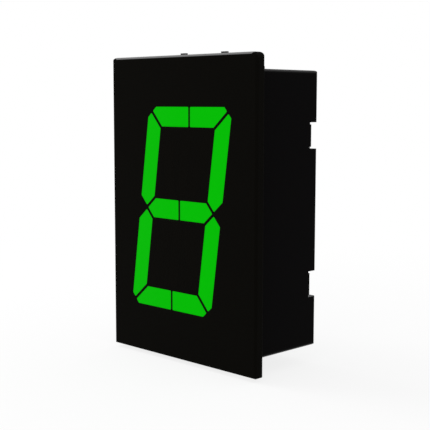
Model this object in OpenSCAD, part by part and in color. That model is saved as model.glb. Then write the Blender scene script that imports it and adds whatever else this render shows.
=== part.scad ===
// Sixteen-segment panel display: one large slanted character behind a flat black bezel.
// The bezel holds sixteen cast light windows, a white reflector and the lamp board. A deep
// case slides over its skirt from behind and snaps onto four arms, and two brackets clamp
// the unit in its panel.
// X runs to the right as seen from the front, Y to the rear and Z up. The origin is the
// centre of the panel's front face, which the flange seats on.

/* [Bezel] */
// Width of the flange in front of the panel
bezel_w = 65; // [64.5:0.5:90]
// Height of the flange in front of the panel
bezel_h = 96; // [95:0.5:130]
// Thickness of the flange
flange_t = 3.4; // [3:0.1:5]
// Rounding of the flange's front edge
front_edge_r = 0.8; // [0.3:0.05:1.2]
// Rounding of the flange's rear edge
rear_edge_r = 0.5; // [0.1:0.05:1]
// Radius of the flange's corners, seen from the front
bezel_corner_r = 2.1; // [0.5:0.1:4]
// Thickness of the face wall around the character
face_t = 1.8; // [1.2:0.1:2.2]
// Wall of the skirt that reaches into the case
skirt_t = 1.4; // [1:0.1:1.6]
// Length of the skirt behind the flange
skirt_len = 6; // [4:0.5:10]

/* [Case] */
// How far the flange stands out past the case at the sides
overhang_side = 3; // [2:0.1:6]
// How far the flange stands out past the case above and below
overhang_end = 4.7; // [3:0.1:10]
// Depth of the case behind the panel's front face
case_depth = 27.9; // [26:0.1:60]
// Wall of the case
case_wall = 1.6; // [1.2:0.1:2]
// Thickness of the back wall
back_t = 1.8; // [1.2:0.1:2.4]
// Radius of the case's long corners
case_corner_r = 1.3; // [0.4:0.1:1.5]
// Rounding of the case's rear edge
case_edge_r = 1; // [0.3:0.1:1.2]
// Depth to which the case's front edge sits in the flange
seat_depth = 0.6; // [0.3:0.1:1.2]

/* [Character] */
// Width of the character at any one height
digit_w = 36.9; // [28:0.1:38]
// Height of the character
digit_h = 64.5; // [46:0.1:65]
// How far the character's centre lies right of the face's centre
digit_x = -0.2; // [-1:0.05:1]
// How far the character's centre lies above the face's centre
digit_z = -0.15; // [-1:0.05:1]
// Lean of the character to the right, in degrees
lean_angle = 8; // [0:0.5:9]
// Width of the upright segments, measured level
bar_w = 6.3; // [4.5:0.1:8]
// Thickness of the level segments
bar_h = 6.2; // [4.5:0.1:8]
// Gap between two neighbouring segments
segment_gap = 0.94; // [0.5:0.02:1.4]
// Gap in the middle of the level segments
split_gap = 0.73; // [0.4:0.01:1.4]
// How far the splits of the top and bottom bars lie right of the leaning centre line
split_shift = 0.45; // [-1:0.05:1]
// Size of the cut that blunts the character's four corners
corner_cut = 3.3; // [1:0.1:4.5]
// Rounding of the segments' own corners
segment_round = 0.35; // [0.1:0.05:0.6]
// Width of the inner upright segments
inner_bar_w = 4.6; // [3.5:0.1:6]
// Gap round the six inner segments
inner_gap = 1; // [0.7:0.1:1.6]

/* [Reflector] */
// Depth of the reflector block
reflector_d = 6; // [5:0.5:9]
// Wall round the outermost light cells
reflector_wall = 2; // [1.2:0.1:2.2]
// Depth of each cell's straight mouth, which the cast window fills
mouth_d = 1.5; // [0.8:0.1:2.5]
// How much narrower a cell is at the lamp board, on each side
cell_draft = 0.9; // [0.3:0.1:1]

/* [Snap arms] */
// Height of the arms' centres above and below the middle
arm_z = 23.3; // [16:0.1:30]
// Width of a snap arm
arm_w = 6.9; // [5:0.1:9]
// Thickness of a snap arm at its root
arm_t = 1.6; // [1.2:0.1:2]
// Thickness of a snap arm at its tip
arm_tip_t = 1.2; // [0.9:0.1:1.6]
// How far the hooks end inside the case's rear face
hook_recess = 2.1; // [1.5:0.1:2.6]
// Thickness of a hook, along the depth
hook_t = 1.6; // [0.8:0.1:2]
// How far a hook reaches out over the case's wall
hook_reach = 1.5; // [1:0.1:1.6]
// Bevel at the hooks' ends
hook_bevel = 0.7; // [0.3:0.1:1.2]
// Gap above and below a hook in its notch
notch_play = 0.65; // [0.2:0.05:1.5]

/* [Boards] */
// Thickness of both circuit boards
board_t = 1.6; // [1:0.2:2]
// Clearance between the lamp board and the skirt
board_clear = 0.6; // [0.4:0.1:1.5]
// Room beside the driver board for the snap arms to bend
arm_room = 2.6; // [2:0.1:5]
// Width across flats of the standoffs
standoff_af = 4.5; // [4:0.1:5.5]
// Radius of the standoffs' and screws' threads
thread_r = 1.25; // [1:0.05:1.5]
// Length of the standoffs' studs and of their threaded bores
stud_len = 5.4; // [4:0.1:5.5]
// Radius of the bezel's screw bosses
boss_r = 2.3; // [2:0.1:2.6]
// Distance from the lamp board's upright edges to the bosses
boss_inset = 5.8; // [4:0.1:10]

/* [Connectors] */
// Pins in each row of the rear headers
header_pins = 5; // [3:1:8]
// Distance from the centre line to the rear headers
header_x = 13.5; // [11:0.1:16]
// Height of the rear headers
header_h = 9; // [8:0.1:9.6]
// How far the headers' rims end inside the case's rear face
header_recess = 0.6; // [0:0.1:1.5]
// Wall of the rear headers
header_wall = 1.2; // [0.8:0.1:1.4]
// Pins in each row of the link between the boards
link_pins = 9; // [4:1:12]

/* [Brackets] */
// Width of a bracket's plate
bracket_w = 22.6; // [20:0.2:30]
// Length of a bracket's plate
bracket_len = 12; // [9:0.5:16]
// Thickness of a bracket's plate and legs
bracket_t = 1.6; // [1.2:0.1:2.2]
// Where the brackets' feet are set, measured from the flange
clamp_gap = 6.8; // [4.5:0.1:8]
// Distance of each foot from the centre line
foot_x = 9.15; // [6:0.05:10]
// Width of a foot
foot_w = 2.3; // [1.6:0.1:3.5]
// Height of a foot above the case
foot_h = 5.8; // [3:0.1:8]

/* [Hidden] */
SEGMENTS = ["a1", "a2", "b", "c", "d1", "d2", "e", "f", "g1", "g2", "h", "i", "j", "k", "l", "m"];
$fn = 48;

// Sliding clearance between the case and the bezel, on each side
slip = 0.1;
// Clearance round a cast window, a plug or a soldered part
snug = 0.02;
// Clearance of a screw or pin in its hole
hole_play = 0.15;
// How far a cutting body runs past the face that it cuts
past = 1;

front_y = -flange_t;
face_y = front_y + face_t;
lamp_y = face_y + reflector_d;
lamp_rear_y = lamp_y + board_t;
// The driver board hangs on its headers' place in the back wall, so the standoffs' length
// follows from the case's depth.
header_rim_y = case_depth - header_recess;
driver_rear_y = header_rim_y - header_h;
driver_y = driver_rear_y - board_t;
standoff_len = driver_y - lamp_rear_y;
back_y = case_depth - back_t;
// The notch's floor, which the hook's front face catches on
notch_y = case_depth - hook_recess - hook_t;

case_w = bezel_w - 2 * overhang_side;
case_h = bezel_h - 2 * overhang_end;
bay_w = case_w - 2 * case_wall;
bay_h = case_h - 2 * case_wall;
skirt_w = bay_w - 2 * slip;
skirt_h = bay_h - 2 * slip;
pocket_w = skirt_w - 2 * skirt_t;
pocket_h = skirt_h - 2 * skirt_t;

lamp_board_w = pocket_w - 2 * board_clear;
lamp_board_h = pocket_h - 2 * board_clear;
driver_board_w = skirt_w - 2 * (arm_t + arm_room);
boss_x = lamp_board_w / 2 - boss_inset;
boss_z = lamp_board_h / 2 - boss_r;
reflector_w = digit_w + digit_h * tan(lean_angle) + 2 * reflector_wall;
reflector_h = digit_h + 2 * reflector_wall;

// ---- Outlines and bodies ----

// Extrudes an outline seen from the front, (x, z), from one depth to another.
module slab(y0, y1) {
    translate([0, y1, 0])
        rotate([90, 0, 0])
            linear_extrude(y1 - y0)
                children();
}

// Extrudes an outline seen from the side, (y, z), from one x to another.
module across(x0, x1) {
    translate([x0, 0, 0])
        rotate([90, 0, 90])
            linear_extrude(x1 - x0)
                children();
}

// Draws its children on the right and on the left.
module both_sides() {
    for (side = [0, 1])
        mirror([side, 0, 0])
            children();
}

// Draws its children above and below the middle.
module both_ends() {
    for (end = [0, 1])
        mirror([0, 0, end])
            children();
}

// A rectangle with true arcs at its corners.
module round_rect(w, h, r) {
    square([w, h - 2 * r], center = true);
    square([w - 2 * r, h], center = true);
    for (x = [-1, 1], z = [-1, 1])
        translate([x * (w / 2 - r), z * (h / 2 - r)])
            circle(r);
}

// A block's section, as (depth, half width), with its front and rear corners rounded.
module eased_outline(half, y0, y1, front_r, rear_r) {
    polygon([
        [y0, front_r - half], [y0 + front_r, -half], [y1 - rear_r, -half], [y1, rear_r - half],
        [y1, half - rear_r], [y1 - rear_r, half], [y0 + front_r, half], [y0, half - front_r]
    ]);
    for (s = [-1, 1]) {
        translate([y0 + front_r, s * (half - front_r)])
            circle(front_r);
        translate([y1 - rear_r, s * (half - rear_r)])
            circle(rear_r);
    }
}

// A block with round corners and with rounded front and rear edges.
module eased_block(w, h, y0, y1, corner_r, front_r, rear_r) {
    intersection() {
        slab(y0, y1)
            round_rect(w, h, corner_r);
        across(-w / 2, w / 2)
            eased_outline(h / 2, y0, y1, front_r, rear_r);
        translate([0, 0, -h / 2])
            linear_extrude(h)
                mirror([1, -1, 0])
                    eased_outline(w / 2, y0, y1, front_r, rear_r);
    }
}

// A round bar along Y.
module rod(x, z, y0, y1, r) {
    translate([x, y1, z])
        rotate([90, 0, 0])
            cylinder(r = r, h = y1 - y0);
}

// ---- The character ----

half_w = digit_w / 2;
half_h = digit_h / 2;
in_w = half_w - bar_w;
in_h = half_h - bar_h;
mid_h = bar_h / 2;
tip_w = half_w - bar_w / 2;
lean = tan(lean_angle);
// Where a corner's mitre meets the cut that blunts the corner
mitre_x = half_w - corner_cut * bar_w / (bar_w + bar_h);
mitre_z = half_h - corner_cut * bar_h / (bar_w + bar_h);
share = segment_gap / 2;
split = split_gap / 2;

// A point of the upright drawing that comes out at x once the character leans
function plumb(x, z) = [x - z * lean, z];
// The split in the top bar (end = 1) or the bottom bar (end = -1)
function split_x(end) = end * (half_h - mid_h) * lean + split_shift;
// The point-symmetric partner of a segment
function turned(s) = [[for (p = s[0]) -p], s[1], -s[2], -s[3], s[4]];

// Each segment: its corners in the upright drawing, counter-clockwise; what the gaps take
// off each side; the two ends of its row of lamps; and how many lamps it has.
function left_end_bar(x) = [
    [
        [-mitre_x, mitre_z], [-in_w, in_h], plumb(x, in_h), plumb(x, half_h),
        [corner_cut - half_w, half_h]
    ],
    [share, 0, split, 0, 0], [-in_w, half_h - mid_h], plumb(x, half_h - mid_h), 2
];
function right_end_bar(x) = [
    [
        plumb(x, in_h), [in_w, in_h], [mitre_x, mitre_z], [half_w - corner_cut, half_h],
        plumb(x, half_h)
    ],
    [0, share, 0, 0, split], plumb(x, half_h - mid_h), [in_w, half_h - mid_h], 2
];
function left_upright() = [
    [
        [-half_w, half_h - corner_cut], [-half_w, mid_h], [-tip_w, 0], [-in_w, mid_h],
        [-in_w, in_h], [-mitre_x, mitre_z]
    ],
    [0, share, share, 0, share, 0], [-tip_w, mid_h], [-tip_w, in_h], 3
];
function right_upright() = [
    [
        [tip_w, 0], [half_w, mid_h], [half_w, half_h - corner_cut], [mitre_x, mitre_z],
        [in_w, in_h], [in_w, mid_h]
    ],
    [share, 0, 0, share, 0, share], [tip_w, mid_h], [tip_w, in_h], 3
];
function left_middle_bar() = [
    [[-tip_w, 0], [-in_w, -mid_h], plumb(0, -mid_h), plumb(0, mid_h), [-in_w, mid_h]],
    [share, 0, split, 0, share], [-in_w, 0], [0, 0], 2
];

// The upper inner window on either side of the centre upright
inner_x0 = in_w - inner_gap;
inner_x1 = inner_bar_w / 2 + inner_gap;
inner_z0 = mid_h + inner_gap;
inner_z1 = in_h - inner_gap;
// Level and upright run of a diagonal's cut ends
diagonal_run = (inner_x0 - inner_x1) * 0.4;
diagonal_rise = (inner_z1 - inner_z0) * 0.28;
inner_tip = inner_bar_w / 4;

function diagonal(side) = [
    let (p = [
        [-inner_x0, inner_z1], [-inner_x0, inner_z1 - diagonal_rise],
        [-inner_x1 - diagonal_run, inner_z0], [-inner_x1, inner_z0],
        [-inner_x1, inner_z0 + diagonal_rise], [diagonal_run - inner_x0, inner_z1]
    ])
    side < 0 ? p : [for (i = [len(p) - 1:-1:0]) [-p[i].x, p[i].y]],
    [0, 0, 0, 0, 0, 0], [side * inner_x0, inner_z1], [side * inner_x1, inner_z0], 2
];
function centre_upright() = [
    [
        [inner_tip - inner_bar_w / 2, inner_z0], [inner_bar_w / 2 - inner_tip, inner_z0],
        [inner_bar_w / 2, inner_z0 + inner_tip], [inner_bar_w / 2, inner_z1],
        [-inner_bar_w / 2, inner_z1], [-inner_bar_w / 2, inner_z0 + inner_tip]
    ],
    [0, 0, 0, 0, 0, 0], [0, inner_z0], [0, inner_z1], 2
];

// The segments' usual letters: a to f run round the outside, g crosses the middle, and h to
// m are the six inner ones, clockwise from the upper left.
function segment_shape(letter) =
    letter == "a1" ? left_end_bar(split_x(1)) :
    letter == "a2" ? right_end_bar(split_x(1)) :
    letter == "b" ? right_upright() :
    letter == "c" ? turned(left_upright()) :
    letter == "d1" ? turned(right_end_bar(-split_x(-1))) :
    letter == "d2" ? turned(left_end_bar(-split_x(-1))) :
    letter == "e" ? turned(right_upright()) :
    letter == "f" ? left_upright() :
    letter == "g1" ? left_middle_bar() :
    letter == "g2" ? turned(left_middle_bar()) :
    letter == "h" ? diagonal(-1) :
    letter == "i" ? centre_upright() :
    letter == "j" ? diagonal(1) :
    letter == "k" ? turned(diagonal(-1)) :
    letter == "l" ? turned(centre_upright()) : turned(diagonal(1));
// The inner segments are dark in the figure that is shown
function is_dark(letter) = len(search(letter, "hijklm")) > 0;

function leaned(p) = [p.x + p.y * lean, p.y];
function unit(v) = v / norm(v);
// The line from p to q moved to its left by d, as [point, direction]
function moved_line(p, q, d) = let (u = unit(q - p)) [p + d * [-u.y, u.x], u];
// Where two such lines cross
function crossing(s, t) =
    let (w = t[0] - s[0])
    s[0] + s[1] * cross(w, t[1]) / cross(s[1], t[1]);
// An outline with each side moved inwards by its own amount
function inset(p, d) =
    let (n = len(p))
    [for (i = [0:n - 1])
        let (before = (i + n - 1) % n, after = (i + 1) % n)
        crossing(moved_line(p[before], p[i], d[before]), moved_line(p[i], p[after], d[i]))];
// An outline with each corner replaced by an arc of radius r in a few steps
function rounded(p, r, steps = 3) =
    let (n = len(p))
    [for (i = [0:n - 1])
        let (
            u = unit(p[(i + n - 1) % n] - p[i]),
            v = unit(p[(i + 1) % n] - p[i]),
            half = acos(u * v) / 2,
            centre = p[i] + unit(u + v) * r / sin(half),
            start = p[i] + u * r / tan(half) - centre,
            first = atan2(start.y, start.x)
        )
        for (k = [0:steps])
            let (angle = first + (180 - 2 * half) * k / steps)
            centre + r * [cos(angle), sin(angle)]];
// A segment's outline with sharp corners, moved inwards all round by a further amount
function cell_outline(letter, further = 0) =
    let (s = segment_shape(letter), p = [for (q = s[0]) leaned(q)])
    inset(p, [for (d = s[1]) d + further]);
// The same outline with rounded corners, as the window has it
function window_outline(letter, further = 0) =
    rounded(cell_outline(letter, further), segment_round);
// The lamps' places behind a segment, along its middle line
function lamp_spots(letter) =
    let (s = segment_shape(letter))
    [for (i = [0:s[4] - 1]) leaned(s[2] + (s[3] - s[2]) * (i + 0.5) / s[4])];

// A body through rings of equally many points (x, z), one ring at each depth.
module loft(rings, depths) {
    n = len(rings[0]);
    last = len(rings) - 1;
    polyhedron(
        points = [for (k = [0:last], p = rings[k]) [p.x, depths[k], p.y]],
        faces = concat(
            [[for (i = [n - 1:-1:0]) i]],
            [for (k = [0:last - 1], i = [0:n - 1])
                let (j = (i + 1) % n)
                [k * n + i, k * n + j, (k + 1) * n + j, (k + 1) * n + i]],
            [[for (i = [0:n - 1]) last * n + i]]
        )
    );
}

// Moves what belongs to the character from the face's centre to the character's.
module at_character() {
    translate([digit_x, 0, digit_z])
        children();
}

// ---- Bezel, windows and reflector ----

// One snap arm on the right, above the middle, with its hook over the case's notch.
module snap_arm() {
    x_out = skirt_w / 2;
    tip_y = case_depth - hook_recess;
    catch_y = notch_y + snug;
    lead = (tip_y - catch_y) / 2;
    intersection() {
        translate([0, 0, arm_z - arm_w / 2])
            linear_extrude(arm_w)
                polygon([
                    [x_out - arm_t, 0], [x_out, 0], [x_out, catch_y],
                    [x_out + hook_reach, catch_y], [x_out + hook_reach, tip_y - lead],
                    [x_out + hook_reach - lead, tip_y], [x_out - arm_tip_t, tip_y],
                    [x_out - arm_t, skirt_len]
                ]);
        across(x_out - arm_t, x_out + hook_reach)
            translate([0, arm_z])
                polygon([
                    [0, -arm_w / 2], [tip_y - hook_bevel, -arm_w / 2],
                    [tip_y, hook_bevel - arm_w / 2], [tip_y, arm_w / 2 - hook_bevel],
                    [tip_y - hook_bevel, arm_w / 2], [0, arm_w / 2]
                ]);
    }
}

// A screw boss on the right, above the middle, tied to the skirt by a rib.
module screw_boss() {
    rib = 1.4;
    rod(boss_x, boss_z, face_y - snug, lamp_y, boss_r);
    translate([boss_x - rib / 2, face_y - snug, boss_z])
        cube([rib, lamp_y - face_y, pocket_h / 2 - boss_z + skirt_t / 2]);
}

module front_bezel() {
    color("#0e0e0c")
        difference() {
            union() {
                difference() {
                    union() {
                        eased_block(
                            bezel_w, bezel_h, front_y, 0, bezel_corner_r, front_edge_r, rear_edge_r
                        );
                        slab(-seat_depth - past / 2, skirt_len)
                            round_rect(skirt_w, skirt_h, case_corner_r);
                    }
                    slab(face_y, skirt_len + past)
                        square([pocket_w, pocket_h], center = true);
                    slab(-seat_depth, past)
                        difference() {
                            round_rect(case_w + 2 * slip, case_h + 2 * slip, case_corner_r);
                            round_rect(skirt_w, skirt_h, case_corner_r);
                        }
                }
                both_sides() both_ends() {
                    snap_arm();
                    screw_boss();
                }
            }
            at_character()
                for (s = SEGMENTS)
                    slab(front_y - past, face_y + past)
                        polygon(window_outline(s));
            both_sides() both_ends()
                rod(boss_x, boss_z, lamp_rear_y - stud_len - hole_play, lamp_y + past, thread_r + snug);
        }
}

// One cast light window: it fills its opening in the face and its cell's mouth.
module light_window(s) {
    color(is_dark(s) ? "#101010" : "#0bbb0b")
        at_character()
            slab(front_y, face_y + mouth_d)
                polygon(window_outline(s, snug));
}

// The reflector's pegs stand in the two corners that the leaning character leaves free
peg_r = 0.9;
peg_x = reflector_w / 2 - 2 * peg_r;
peg_z = reflector_h / 2 - 2 * peg_r;

// The white block with a tapered light cell behind each window.
module reflector() {
    mouth_y = face_y + mouth_d;
    run = lamp_y - mouth_y;
    beyond = 0.1;
    color("white")
        at_character() {
            difference() {
                slab(face_y, lamp_y)
                    round_rect(reflector_w, reflector_h, 2 * reflector_wall);
                for (s = SEGMENTS)
                    loft(
                        [
                            cell_outline(s), cell_outline(s),
                            cell_outline(s, cell_draft * (run + beyond) / run)
                        ],
                        [face_y - beyond, mouth_y, lamp_y + beyond]
                    );
            }
            // Pegs that locate it in the lamp board
            for (end = [-1, 1])
                rod(-end * peg_x, end * peg_z, lamp_y - past, lamp_rear_y - hole_play, peg_r);
        }
}

// ---- Lamp board ----

module lamp_board() {
    color("#1d4a2a")
        difference() {
            slab(lamp_y, lamp_rear_y)
                square([lamp_board_w, lamp_board_h], center = true);
            both_sides() both_ends()
                rod(boss_x, boss_z, lamp_y - past, lamp_rear_y + past, thread_r + hole_play);
            at_character()
                for (end = [-1, 1])
                    rod(
                        -end * peg_x, end * peg_z, lamp_y - past, lamp_rear_y + past,
                        peg_r + hole_play / 2
                    );
        }
}

// Chip lamps: a ceramic base with a moulded lens, facing the front.
module segment_lamps() {
    base = [1.6, 0.35, 0.8];
    lens = [1.1, 0.45, 0.8];
    color("#f0f0e0")
        at_character()
            for (s = SEGMENTS, p = lamp_spots(s))
                translate([p.x, lamp_y, p.y]) {
                    translate([-base.x / 2, -base.y, -base.z / 2])
                        cube(base);
                    translate([-lens.x / 2, -base.y - lens.y, -lens.z / 2])
                        cube([lens.x, lens.y + base.y / 2, lens.z]);
                }
}

// A row of chip resistors or capacitors with end caps a little prouder than the body.
module chip_row(count, z, pitch, y, size) {
    cap = size.x / 5;
    relief = 0.05;
    for (i = [0:count - 1])
        translate([(i - (count - 1) / 2) * pitch, y, z]) {
            translate([-size.x / 2 + cap / 2, relief, relief - size.z / 2])
                cube([size.x - cap, size.y - 2 * relief, size.z - 2 * relief]);
            for (side = [-1, 1])
                translate([side * (size.x - cap) / 2 - cap / 2, 0, -size.z / 2])
                    cube([cap, size.y, size.z]);
        }
}

module segment_resistors() {
    pitch = 4.6;
    color("#303030")
        for (end = [-1, 1])
            chip_row(8, end * in_h, pitch, lamp_rear_y, [3.2, 0.6, 1.6]);
}

// ---- Links between the boards ----

pin_pitch = 2.54;
pin_side = 0.64;
pin_hole_r = 0.5;
link_z = -in_h / 2;
link_base = 2.5;
link_len = link_pins * pin_pitch;
link_depth = 2 * pin_pitch;

// Places its children at each pin of a two-row header, long way along X.
module pin_grid(count) {
    for (i = [0:count - 1], row = [-1, 1])
        translate([(i - (count - 1) / 2) * pin_pitch, 0, row * pin_pitch / 2])
            children();
}

// A square pin along Y with beveled ends.
module square_pin(y0, y1) {
    bevel = pin_side / 4;
    intersection() {
        across(-pin_side / 2, pin_side / 2)
            pin_outline(y0, y1, bevel);
        translate([0, 0, -pin_side / 2])
            linear_extrude(pin_side)
                mirror([1, -1, 0])
                    pin_outline(y0, y1, bevel);
    }
}

module pin_outline(y0, y1, bevel) {
    half = pin_side / 2;
    polygon([
        [y0, bevel - half], [y0 + bevel, -half], [y1 - bevel, -half], [y1, bevel - half],
        [y1, half - bevel], [y1 - bevel, half], [y0 + bevel, half], [y0, half - bevel]
    ]);
}

module link_header() {
    color("#181818")
        translate([0, 0, link_z])
            difference() {
                translate([-link_len / 2, lamp_rear_y, -link_depth / 2])
                    cube([link_len, link_base, link_depth]);
                pin_grid(link_pins)
                    rod(0, 0, lamp_rear_y - past, lamp_rear_y + link_base + past, pin_hole_r);
            }
}

module link_pins() {
    color("goldenrod")
        translate([0, 0, link_z])
            pin_grid(link_pins)
                square_pin(lamp_rear_y + snug, driver_y - link_base);
}

module link_socket() {
    base_y = lamp_rear_y + link_base + slip;
    color("#181818")
        translate([0, 0, link_z])
            difference() {
                translate([-link_len / 2, base_y, -link_depth / 2])
                    cube([link_len, driver_y - base_y, link_depth]);
                pin_grid(link_pins)
                    rod(0, 0, lamp_rear_y, driver_y - link_base + slip, pin_hole_r);
            }
}

// A male and female hexagon standoff at each boss.
module board_standoffs() {
    color("goldenrod")
        both_sides() both_ends() {
            difference() {
                translate([boss_x, driver_y, boss_z])
                    rotate([90, 0, 0])
                        cylinder(r = standoff_af / sqrt(3), h = standoff_len, $fn = 6);
                rod(boss_x, boss_z, driver_y - stud_len, driver_y + past, thread_r + snug);
            }
            rod(boss_x, boss_z, lamp_rear_y - stud_len, lamp_rear_y + thread_r, thread_r);
        }
}

// ---- Driver board and its parts ----

// Where each part sits on the driver board's rear face, as [x, z]
driver_at = [0, 3];
controller_at = [0, -15];
regulator_at = [15, 24];
diode_at = [15, 14.5];
inductor_at = [3, 25];
input_capacitor_at = [-7.5, 25];
output_capacitor_at = [-17, 25];
// Heights of the two rows of small parts, and the pitch along them
ceramic_row_z = -25;
resistor_row_z = -30;
row_pitch = 4.2;

module driver_board() {
    color("#1d4a2a")
        difference() {
            slab(driver_y, driver_rear_y)
                square([driver_board_w, lamp_board_h], center = true);
            both_sides() both_ends()
                rod(boss_x, boss_z, driver_y - past, driver_rear_y + past, thread_r + hole_play);
            both_sides()
                translate([header_x, 0, 0])
                    rotate([0, 90, 0])
                        pin_grid(header_pins)
                            rod(0, 0, driver_y - past, driver_rear_y + past, pin_hole_r);
        }
}

// A pan-head screw at each standoff; its head seats on the driver board's rear face.
module board_screws() {
    head_r = 1.9 * thread_r;
    head_h = 1.25 * thread_r;
    dome_r = (head_r * head_r + head_h * head_h / 4) / head_h;
    color("silver")
        both_sides() both_ends()
            translate([boss_x, driver_rear_y, boss_z])
                rotate([-90, 0, 0])
                    difference() {
                        union() {
                            translate([0, 0, board_t - stud_len])
                                cylinder(r = thread_r, h = stud_len - board_t + head_h / 2);
                            rotate_extrude()
                                intersection() {
                                    square([head_r, head_h]);
                                    translate([0, head_h - dome_r])
                                        circle(dome_r);
                                }
                        }
                        for (turn = [0, 90])
                            rotate([0, 0, turn])
                                translate([-head_r * 0.6, -head_r / 8, head_h / 2])
                                    cube([head_r * 1.2, head_r / 4, head_h]);
                    }
}

// One row of gull-wing leads on the right of a package of the given half width.
module lead_row(count, pitch, half, reach, mid, lead_w, t) {
    for (i = [0:count - 1])
        translate([0, 0, (i - (count - 1) / 2) * pitch - lead_w / 2])
            linear_extrude(lead_w)
                polygon([
                    [half - t, mid], [half + 2 * t, mid], [half + 3 * t, t], [reach, t],
                    [reach, 0], [half + 2 * t, 0], [half + t, mid - t], [half - t, mid - t]
                ]);
}

// A moulded package (w by h by t) on its leads, centred on a spot on the driver board.
module gull_package(spot, w, h, t, count, pitch, span, sides) {
    lead_t = 0.2;
    lift = 0.1;
    draft = 0.25;
    translate([spot.x, driver_rear_y, spot.y]) {
        intersection() {
            across(-w / 2, w / 2)
                package_outline(h / 2, lift, t, draft);
            translate([0, 0, -h / 2])
                linear_extrude(h)
                    mirror([1, -1, 0])
                        package_outline(w / 2, lift, t, draft);
        }
        for (i = [0:sides - 1])
            rotate([0, i * 360 / sides, 0])
                lead_row(count, pitch, w / 2, span / 2, t / 2 + lead_t / 2, pitch * 0.35, lead_t);
    }
}

// A moulded body's edge, as (height, half width): widest where the two mould halves meet.
module package_outline(half, lift, t, draft) {
    polygon([
        [lift, draft - half], [t / 2, -half], [t, draft - half],
        [t, half - draft], [t / 2, half], [lift, half - draft]
    ]);
}

module segment_driver() {
    color("#202020")
        gull_package(driver_at, 7.5, 15.4, 2.4, 12, 1.27, 10.3, 2);
}

module microcontroller() {
    color("#202020")
        gull_package(controller_at, 7, 7, 1.4, 8, 0.8, 9, 4);
}

// A power package: its tab lies flat on the board beside two bent leads.
module voltage_regulator() {
    body = [6.5, 2.3, 6.1];
    tab = [5.3, 0.5, 1.2];
    lead = [0.7, 0.5, 2.6];
    color("#202020")
        translate([regulator_at.x, driver_rear_y, regulator_at.y]) {
            translate([-body.x / 2, 0, -body.z / 2])
                cube(body);
            translate([-tab.x / 2, 0, body.z / 2 - slip])
                cube([tab.x, tab.y, tab.z + slip]);
            for (side = [-1, 1])
                translate([side * body.x / 3 - lead.x / 2, 0, -body.z / 2 - lead.z + slip])
                    cube(lead);
        }
}

// A shielded coil: a square ferrite block with cut corners and a round core on top.
module power_inductor() {
    half = 4;
    t = 4;
    cut = 1.4;
    core_r = 2.8;
    color("#3a3a3a")
        translate([inductor_at.x, 0, inductor_at.y]) {
            slab(driver_rear_y, driver_rear_y + t)
                polygon([
                    [cut - half, -half], [half - cut, -half], [half, cut - half], [half, half - cut],
                    [half - cut, half], [cut - half, half], [-half, half - cut], [-half, cut - half]
                ]);
            rod(0, 0, driver_rear_y + t / 2, driver_rear_y + t * 1.1, core_r);
        }
}

// An aluminium can with a rolled neck on a square base with two cut corners.
module can_capacitor(spot, r, h) {
    base_t = h / 7;
    half = r + 0.15;
    cut = half / 3;
    neck_r = r / 8;
    color("silver")
        translate([spot.x, driver_rear_y, spot.y]) {
            slab(0, base_t)
                polygon([
                    [-half, -half], [half, -half], [half, half - cut],
                    [half - cut, half], [cut - half, half], [-half, half - cut]
                ]);
            rotate([-90, 0, 0])
                rotate_extrude()
                    difference() {
                        translate([0, base_t / 2])
                            square([r, h - base_t / 2]);
                        translate([r + neck_r / 2, base_t * 2])
                            circle(neck_r);
                        translate([r, h])
                            rotate(45)
                                square(neck_r * 1.5, center = true);
                    }
        }
}

module input_capacitor() {
    can_capacitor(input_capacitor_at, 4, 6.8);
}

module output_capacitor() {
    can_capacitor(output_capacitor_at, 3.15, 5.8);
}

module ceramic_capacitors() {
    color("#9a7b55")
        chip_row(6, ceramic_row_z, row_pitch, driver_rear_y, [2, 1.2, 1.25]);
}

module control_resistors() {
    color("#303030")
        chip_row(8, resistor_row_z, row_pitch, driver_rear_y, [2, 0.5, 1.25]);
}

module protection_diode() {
    body = [4.3, 2.2, 2.6];
    foot = [0.8, 1.1, 1.5];
    color("#202020")
        translate([diode_at.x, driver_rear_y, diode_at.y]) {
            translate([-body.x / 2, slip, -body.z / 2])
                cube(body);
            for (side = [-1, 1])
                translate([side * body.x / 2 - foot.x / 2, 0, -foot.z / 2])
                    cube(foot);
        }
}

// ---- Rear headers ----

// Room round the pins inside a header, across it and along it
room_across = 1.3;
room_along = 5.2;
header_w = 2 * pin_pitch + 2 * header_wall + room_across;
header_len = header_pins * pin_pitch + 2 * header_wall + room_along;

// A shrouded two-row header on the right, its key slot towards the centre line.
module header_shroud() {
    key = 4.5;
    floor_y = driver_rear_y + link_base;
    color("#181818")
        translate([header_x, 0, 0])
            difference() {
                slab(driver_rear_y, header_rim_y)
                    square([header_w, header_len], center = true);
                slab(floor_y, header_rim_y + past) {
                    square([header_w - 2 * header_wall, header_len - 2 * header_wall], center = true);
                    translate([-header_w / 2, 0])
                        square([2 * header_wall + past, key], center = true);
                }
                rotate([0, 90, 0])
                    pin_grid(header_pins)
                        rod(0, 0, driver_rear_y - past, floor_y + past, pin_hole_r);
            }
}

module header_pin_set() {
    recess = 0.7;
    color("goldenrod")
        translate([header_x, 0, 0])
            rotate([0, 90, 0])
                pin_grid(header_pins)
                    square_pin(driver_y - pin_pitch / 2, header_rim_y - recess);
}

module input_header() {
    mirror([1, 0, 0])
        header_shroud();
}

module input_pins() {
    mirror([1, 0, 0])
        header_pin_set();
}

module output_header() {
    header_shroud();
}

module output_pins() {
    header_pin_set();
}

// ---- Case ----

// Rails that hold a bracket to the case
rail_t = 1.2;
rail_lip = 0.9;
rail_lip_t = 0.8;
rail_y0 = 4;
rail_y1 = 21;
// The rack that a bracket's pawl steps along, and how far it ends inside the rear face
tooth_pitch = 1.2;
tooth_depth = 0.6;
rack_w = 6;
rack_end = 3.2;
// Rounding of the case's front edge, which leads it into the flange's groove
case_lead = 0.3;

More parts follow.
